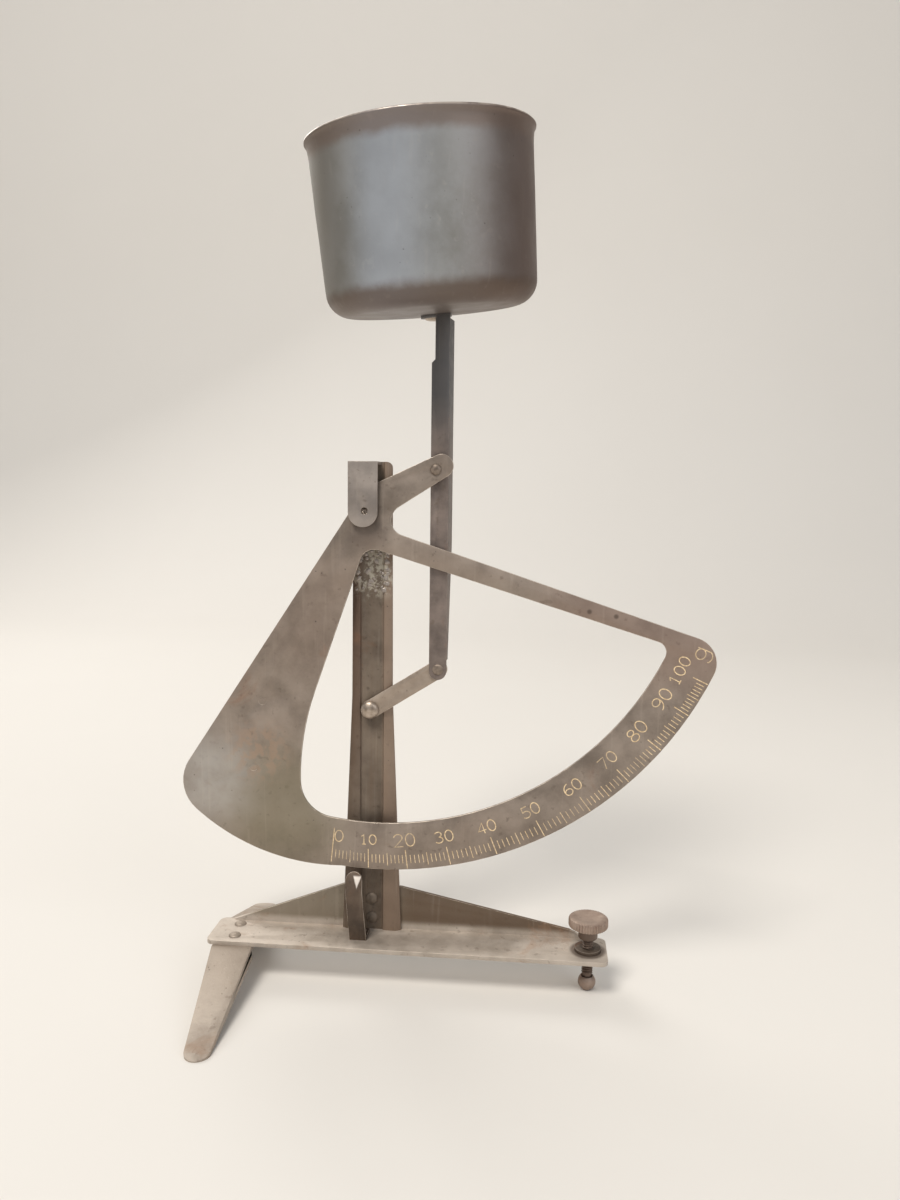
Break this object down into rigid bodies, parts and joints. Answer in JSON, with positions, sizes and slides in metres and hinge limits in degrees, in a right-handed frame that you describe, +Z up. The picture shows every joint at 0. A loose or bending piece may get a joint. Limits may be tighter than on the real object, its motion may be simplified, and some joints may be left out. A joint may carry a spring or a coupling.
{
  "type": "pendulum balance",
  "caption": "Pendulum balance: a sheet quadrant with a scale swings on a knife edge and carries a cup on a rod held upright by a parallel link, on a riveted stand with a levelling screw.",
  "frame": {"origin": "on the table, under the middle of the box round the whole balance", "axes": "+X along the bar towards the levelling screw, +Y away from the reader of the scale, +Z up"},
  "size_m": [0.1446, 0.0854, 0.2277],
  "materials": {
    "dark_steel": "worn dark paint over steel",
    "worn_steel": "tarnished bare steel with rust stains",
    "cup_steel": "dull blue-grey spun steel",
    "bright_steel": "rubbed bright steel"
  },
  "bodies": {
    "stand": {"base_bar": "dark_steel", "cross_legs": "dark_steel", "base_rivets": "bright_steel", "levelling_bush": "bright_steel", "column": "dark_steel", "column_rivets": "bright_steel", "index_pointer": "worn_steel", "index_rivet": "bright_steel", "top_strap": "worn_steel", "strap_rivet": "bright_steel", "link_stud": "bright_steel", "stud_washer": "bright_steel"},
    "levelling_foot_body": {"levelling_foot": "bright_steel"},
    "levelling_screw_body": {"levelling_screw": "bright_steel"},
    "quadrant": {"quadrant_plate": "worn_steel", "knife_edge": "bright_steel", "counterweight": "dark_steel", "weight_rivets": "worn_steel", "upper_pivot_rivet": "bright_steel", "upper_washers": "bright_steel"},
    "pan": {"rod": "worn_steel", "cup": "cup_steel", "cup_rivet": "bright_steel", "cup_washer": "bright_steel", "lower_pivot_rivet": "bright_steel", "lower_washer": "bright_steel"},
    "link": {"lower_link": "worn_steel"}
  },
  "joints": [
    {"name": "quadrant_swing", "type": "hinge", "parent": "stand", "child": "quadrant", "pos_m": [-0.02073, 0.00404, 0.1283], "axis": [0, 1, 0], "range_deg": [-5, 65.5]},
    {"name": "pan_pivot", "type": "hinge", "parent": "quadrant", "child": "pan", "pos_m": [-0.00201, 0.00544, 0.14023], "axis": [0, 1, 0], "range_deg": [-65.5, 5]},
    {"name": "link_pivot", "type": "hinge", "parent": "stand", "child": "link", "pos_m": [-0.01983, 0.00639, 0.0747], "axis": [0, 1, 0], "range_deg": [-5, 65.5]},
    {"name": "levelling_lift", "type": "slide", "parent": "stand", "child": "levelling_foot_body", "axis": [0, 0, 1], "range_m": [-0.00105, 0.00105]},
    {"name": "levelling_turn", "type": "hinge", "parent": "levelling_foot_body", "child": "levelling_screw_body", "pos_m": [0.04107, 0.00204, 0.0083], "axis": [0, 0, 1], "range_deg": [-540, 540]}
  ],
  "couplings": [
    {"joint": "pan_pivot", "follows": "quadrant_swing", "ratio": -1},
    {"joint": "link_pivot", "follows": "quadrant_swing", "ratio": 1},
    {"joint": "levelling_turn", "follows": "levelling_lift", "rad_per_m": 8976}
  ]
}
